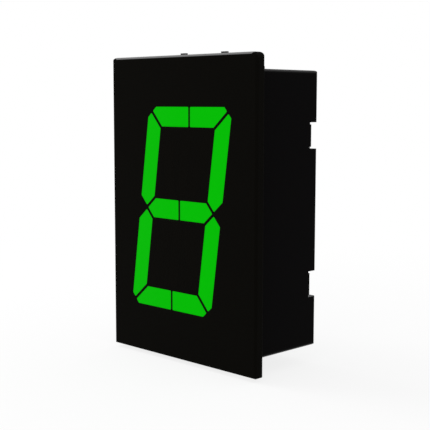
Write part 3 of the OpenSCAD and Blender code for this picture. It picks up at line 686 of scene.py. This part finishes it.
def diode_material(s, node):
    """Black body with a pale cathode band and tinned feet that stand out beyond it."""
    f = Finish("diode_black")
    centre, half = middle(node)
    across = f.x - centre[0]
    foot = f.rise(abs(across), half[0] - 0.42, half[0] - 0.38)
    band = f.rise(across, 1.1, 1.14) * (1 - f.rise(across, 1.6, 1.64))
    fine = f.noise(9.0, 3.0)
    body = f.blend(band, colour(s.compound), (0.6, 0.6, 0.58))
    return f.surface(
        Base_Color=f.blend(foot, body, s.tin),
        Metallic=foot,
        Roughness=0.5 - foot * 0.2 + (fine - 0.5) * 0.12,
        Normal=f.bump(fine, 0.015, 0.4),
    )


def sintered_material(s):
    """Dark ferrite with the pores and the faint speckle of a sintered block."""
    f = Finish("sintered_ferrite")
    fine, pores = f.noise(8.0, 4.0), f.noise(3.0, 5.0)
    return f.surface(
        Base_Color=f.blend(fine, colour(s.ferrite, 0.7), colour(s.ferrite, 1.4)),
        Roughness=0.5 + (pores - 0.5) * 0.25,
        Normal=f.bump(pores, 0.03, 0.5),
    )


def metal_material(name, tone, roughness, per_mm, stretch):
    """Bare or plated metal with fine marks drawn out along one direction."""
    f = Finish(name)
    marks = f.noise(per_mm, 3.0, stretch)
    return f.surface(
        Base_Color=f.blend(marks, colour(tone, 0.86), tone),
        Metallic=1.0,
        Roughness=roughness + (marks - 0.5) * 0.14,
        Normal=f.bump(marks, 0.008, 0.3),
    )


def nylon_material(name):
    """Black glass-filled nylon: pale fibre ends show faintly as short streaks."""
    f = Finish(name)
    fibre = f.noise(2.5, 3.0, (1.0, 0.15, 1.0))
    fine = f.noise(7.0, 2.0)
    return f.surface(
        Base_Color=f.blend(
            f.rise(fibre, 0.55, 0.75), (0.0085, 0.0085, 0.009), (0.017, 0.017, 0.0175)
        ),
        Roughness=0.42 + (fine - 0.5) * 0.15,
        Specular_IOR_Level=0.35,
        Normal=f.bump(fine, 0.012, 0.4),
    )


def white_material(name, tone, low_roughness, specular):
    """White moulded plastic, faintly mottled."""
    f = Finish(name)
    broad, fine = f.noise(0.4), f.noise(6.0, 2.0)
    return f.surface(
        Base_Color=f.blend(broad, colour(tone, 0.97), tone),
        Roughness=low_roughness + fine * 0.1,
        Specular_IOR_Level=specular,
        Normal=f.bump(fine, 0.01, 0.3),
    )


def lamp_material():
    """Chip lamp: a white base and a clear, faintly green lens in front of it."""
    f = Finish("lamp_lens")
    low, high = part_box("segment_lamps")
    lens = f.rise(high.y / MM - 0.35 - f.y, 0.0, 0.03)
    haze_and_painted_shade = f.noise(2.0)
    return f.surface(
        Base_Color=f.blend(
            lens, (0.82, 0.82, 0.78), f.blend(haze_and_painted_shade, (0.5, 0.68, 0.42), (0.6, 0.78, 0.5))
        ),
        Roughness=0.4 - lens * 0.28 + haze_and_painted_shade * 0.05,
    )


# ---- Operators ----


class DISPLAY_OT_bezel(bpy.types.Operator):
    """Finishes the bezel in satin black and sharpens its two lower corners"""

    bl_idname = "display.bezel"
    bl_label = "Finish Bezel"

    def execute(self, context):
        settings = context.scene.display_bezel
        material = bezel_material(settings)
        assign("front_bezel", material)
        for name, side in (("left", -1), ("right", 1)):
            points, faces = sharper_corner(side, settings.corner_radius)
            corner = new_piece(f"bezel_corner_{name}", points, faces, material, False)
            close_ends(corner)
            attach(corner, BODY)
        return {"FINISHED"}


class DISPLAY_OT_windows(bpy.types.Operator):
    """Lights the outer and middle windows and leaves the six inner ones dark"""

    bl_idname = "display.windows"
    bl_label = "Light Windows"

    def execute(self, context):
        settings = context.scene.display_windows
        lit, dark = lit_material(settings), dark_material(settings)
        windows = [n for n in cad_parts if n.startswith("segment_") and len(n) <= 10]
        if len(windows) != 16:
            raise RuntimeError("the display should have sixteen windows")
        for node in windows:
            assign(node, dark if node[-1] in "hijklm" else lit)
        return {"FINISHED"}


class DISPLAY_OT_casing(bpy.types.Operator):
    """Finishes the case and its two clamping brackets in grained black"""

    bl_idname = "display.casing"
    bl_label = "Finish Casing"

    def execute(self, context):
        settings = context.scene.display_casing
        assign("case_shell", case_material("grained_case_black", settings))
        bracket = case_material("bracket_black", settings)
        for node in ("mounting_bracket_top", "mounting_bracket_bottom"):
            assign(node, bracket)
        return {"FINISHED"}


class DISPLAY_OT_light_path(bpy.types.Operator):
    """Finishes the white reflector and the lamps behind the windows"""

    bl_idname = "display.light_path"
    bl_label = "Finish Reflector and Lamps"

    def execute(self, context):
        assign("reflector", white_material("reflector_white", (0.86, 0.86, 0.84), 0.42, 0.4))
        assign("segment_lamps", lamp_material())
        return {"FINISHED"}


class DISPLAY_OT_boards(bpy.types.Operator):
    """Finishes both boards with tracks, vias and printed outlines"""

    bl_idname = "display.boards"
    bl_label = "Finish Boards"

    def execute(self, context):
        settings = context.scene.display_boards
        assign("lamp_board", board_material("lamp_board_mask", settings, []))
        outlined = [
            "segment_driver",
            "microcontroller",
            "voltage_regulator",
            "power_inductor",
            "input_capacitor",
            "output_capacitor",
            "protection_diode",
        ]
        assign("driver_board", board_material("driver_board_mask", settings, outlined))
        return {"FINISHED"}


class DISPLAY_OT_parts(bpy.types.Operator):
    """Finishes the chips, capacitors, resistors, coil and diode on the boards"""

    bl_idname = "display.parts"
    bl_label = "Finish Board Parts"

    def execute(self, context):
        s = context.scene.display_parts
        for node, half in (("segment_driver", DRIVER_HALF), ("microcontroller", CONTROLLER_HALF)):
            assign(node, leaded_material(node + "_black", s, middle(node)[0], half))
        centre, half = middle("voltage_regulator")
        body_z = centre[1] + half[1] - REGULATOR_TAB - REGULATOR_BODY_HALF
        regulator = leaded_material("regulator_black", s, (centre[0], body_z), REGULATOR_HALF)
        assign("voltage_regulator", regulator)
        assign("power_inductor", sintered_material(s))
        for node in ("input_capacitor", "output_capacitor"):
            assign(node, can_material(node + "_can", s, node))
        assign("protection_diode", diode_material(s, "protection_diode"))
        for node, name, tone, pitch, half in (
            ("ceramic_capacitors", "ceramic_body", s.ceramic, SMALL_PITCH, SMALL_HALF),
            ("control_resistors", "resistor_body", RESISTOR_BLACK, SMALL_PITCH, SMALL_HALF),
            ("segment_resistors", "large_resistor_body", RESISTOR_BLACK, LARGE_PITCH, LARGE_HALF),
        ):
            assign(node, chip_material(name, s, tone, pitch, half))
        return {"FINISHED"}


class DISPLAY_OT_connectors(bpy.types.Operator):
    """Finishes the headers, the link between the boards and all their pins"""

    bl_idname = "display.connectors"
    bl_label = "Finish Connectors"

    def execute(self, context):
        s = context.scene.display_parts
        nylon = nylon_material("header_nylon")
        for node in ("link_header", "link_socket", "input_header", "output_header"):
            assign(node, nylon)
        gold = metal_material("pin_gold", s.gold, 0.24, 6.0, (1, 0.1, 1))
        for node in ("link_pins", "input_pins", "output_pins"):
            assign(node, gold)
        return {"FINISHED"}


class DISPLAY_OT_hardware(bpy.types.Operator):
    """Finishes the standoffs in turned brass and the screws in zinc"""

    bl_idname = "display.hardware"
    bl_label = "Finish Hardware"

    def execute(self, context):
        s = context.scene.display_parts
        brass = metal_material("turned_brass", s.brass, 0.3, 5.0, (0.1, 3, 0.1))
        assign("board_standoffs", brass)
        zinc = metal_material("zinc_plate", (0.56, 0.58, 0.6), 0.32, 3.0, (1, 1, 1))
        assign("board_screws", zinc)
        return {"FINISHED"}


class DISPLAY_OT_solder(bpy.types.Operator):
    """Adds the solder collars round the headers' pins on the board's front"""

    bl_idname = "display.solder"
    bl_label = "Add Solder Collars"

    def execute(self, context):
        s, parts = context.scene.display_solder, context.scene.display_parts
        board_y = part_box("driver_board")[0].y
        centres = []
        for node in ("input_pins", "output_pins"):
            (x, z), _ = middle(node)
            i, j = np.meshgrid(np.arange(PIN_COLUMNS) - 0.5, np.arange(PIN_ROWS) - 2)
            centres += list(zip(x * MM + i.ravel() * PIN_PITCH, z * MM + j.ravel() * PIN_PITCH))
        points, faces = solder_collars(
            centres, board_y, s.reach, s.foot, s.neck, COLLAR_CORE_R, s.turns
        )
        tin = metal_material("solder_tin", parts.tin, 0.26, 1.5, (1, 1, 1))
        piece = new_piece("solder_collars", points, faces, tin)
        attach(piece, BODY)
        return {"FINISHED"}


def look_from(position, target, roll=0.0):
    """Placement at position with -Z towards target, turned by roll about that line."""
    turn = (target - position).to_track_quat("-Z", "Y").to_matrix().to_4x4()
    return Matrix.Translation(position) @ turn @ Matrix.Rotation(roll, 4, "Z")


def softbox(name, position, target, size, power):
    light = bpy.data.lights.new(name, "AREA")
    light.shape = "RECTANGLE"
    light.size, light.size_y = size
    light.energy = power
    lamp = bpy.data.objects.new(name, light)
    lamp.visible_glossy = False
    lamp.matrix_world = look_from(Vector(position), Vector(target))
    bpy.context.scene.collection.objects.link(lamp)
    return lamp


def seen_rays(f):
    """1 for rays that reach the camera straight, or by a reflection or through glass."""
    path = f.node("ShaderNodeLightPath")
    seen = f.larger(path["Is Camera Ray"], path["Is Glossy Ray"])
    return f.larger(seen, path["Is Transmission Ray"])


def floor_material(s):
    """Pale floor, faintly mottled, with the display's soft shadow; plain white further off."""
    f = Finish("pale_floor")
    mottle = f.noise(0.02)
    away = f.maths("SQRT", f.x * f.x + f.y * f.y)
    plain = f.rise(away, s.floor_near / MM, s.floor_far / MM) * (1 - s.floor_light) + s.floor_light
    matt = f.node(
        "ShaderNodeBsdfDiffuse",
        None,
        {"Color": f.blend(mottle, colour(s.floor_colour, 0.99), s.floor_colour)},
    )["BSDF"]
    white = f.node("ShaderNodeEmission", None, {"Color": WHITE, "Strength": 1.0})["Emission"]
    both = f.node("ShaderNodeMixShader", None, {0: seen_rays(f) * plain, 1: matt, 2: white})
    f.node("ShaderNodeOutputMaterial", None, {"Surface": both["Shader"]})
    return f.material


class Sky(Finish):
    """The world's nodes: an even light, seen as plain white."""

    def __init__(self, name):
        self.material = bpy.data.worlds.new(name)
        self.material.use_nodes = True
        self.tree = self.material.node_tree
        self.tree.nodes.clear()


class DISPLAY_OT_stage(bpy.types.Operator):
    """Sets the pale floor, the soft studio light and the camera"""

    bl_idname = "display.stage"
    bl_label = "Set Stage"

    def execute(self, context):
        s, scene = context.scene.display_stage, context.scene
        steps = np.linspace(-s.floor_size, s.floor_size, FLOOR_STEPS)
        x, y = np.meshgrid(steps, steps)
        z = np.full_like(x, CAD_LOW.z - FLOOR_GAP)
        points = np.stack([x, y, z], axis=-1).reshape(-1, 3)
        faces = grid_faces(FLOOR_STEPS, FLOOR_STEPS, False, False)
        floor = new_piece("floor", points, faces, floor_material(s), False)

        sky = Sky("studio_sky")
        even, plain = (
            sky.node("ShaderNodeBackground", None, {"Color": WHITE, "Strength": strength})[
                "Background"
            ]
            for strength in (s.sky, 1.0)
        )
        both = sky.node("ShaderNodeMixShader", None, {0: seen_rays(sky), 1: even, 2: plain})
        sky.node("ShaderNodeOutputWorld", None, {"Surface": both["Shader"]})
        scene.world = sky.material

        softbox("key_softbox", (-0.50, -0.12, 0.52), (0, 0, 0), (0.42, 0.42), s.key_power)
        softbox("fill_softbox", (0.45, -0.75, 0.30), (0, 0, 0), (0.6, 0.6), s.fill_power)

        lens = bpy.data.cameras.new("camera")
        lens.lens, lens.sensor_width = s.focal_length, SENSOR_WIDTH
        lens.shift_x, lens.shift_y = s.shift
        lens.clip_start, lens.clip_end = CLIP_NEAR, CLIP_FAR
        camera = bpy.data.objects.new("camera", lens)
        camera.matrix_world = look_from(Vector(s.camera_at), Vector(s.camera_to), s.roll)
        scene.collection.objects.link(camera)
        scene.camera = camera
        scene.view_settings.view_transform = "Standard"
        return {"FINISHED"}


class DISPLAY_PT_finishes(bpy.types.Panel):
    """Lists the display's operators with their sizes and colours"""

    bl_label = "Segment Display"
    bl_idname = "DISPLAY_PT_finishes"
    bl_space_type = "VIEW_3D"
    bl_region_type = "UI"
    bl_category = "Display"

    def draw(self, context):
        layout = self.layout
        for operator in OPERATORS:
            layout.operator(operator.bl_idname)
        for key, group in GROUPS.items():
            box = layout.box()
            box.label(text=group.__name__)
            for name in group.__annotations__:
                box.prop(getattr(context.scene, key), name)


OPERATORS = (
    DISPLAY_OT_bezel,
    DISPLAY_OT_windows,
    DISPLAY_OT_casing,
    DISPLAY_OT_light_path,
    DISPLAY_OT_boards,
    DISPLAY_OT_parts,
    DISPLAY_OT_connectors,
    DISPLAY_OT_hardware,
    DISPLAY_OT_solder,
    DISPLAY_OT_stage,
)
CLASSES = tuple(GROUPS.values()) + OPERATORS + (DISPLAY_PT_finishes,)


def register():
    for cls in CLASSES:
        bpy.utils.register_class(cls)
    for key, group in GROUPS.items():
        setattr(bpy.types.Scene, key, PointerProperty(type=group))


def unregister():
    for key in GROUPS:
        delattr(bpy.types.Scene, key)
    for cls in reversed(CLASSES):
        bpy.utils.unregister_class(cls)


def main():
    register()
    bpy.ops.display.bezel()
    bpy.ops.display.windows()
    bpy.ops.display.casing()
    bpy.ops.display.light_path()
    bpy.ops.display.boards()
    bpy.ops.display.parts()
    bpy.ops.display.connectors()
    bpy.ops.display.hardware()
    bpy.ops.display.solder()
    bpy.ops.display.stage()


if __name__ == "__main__":
    main()
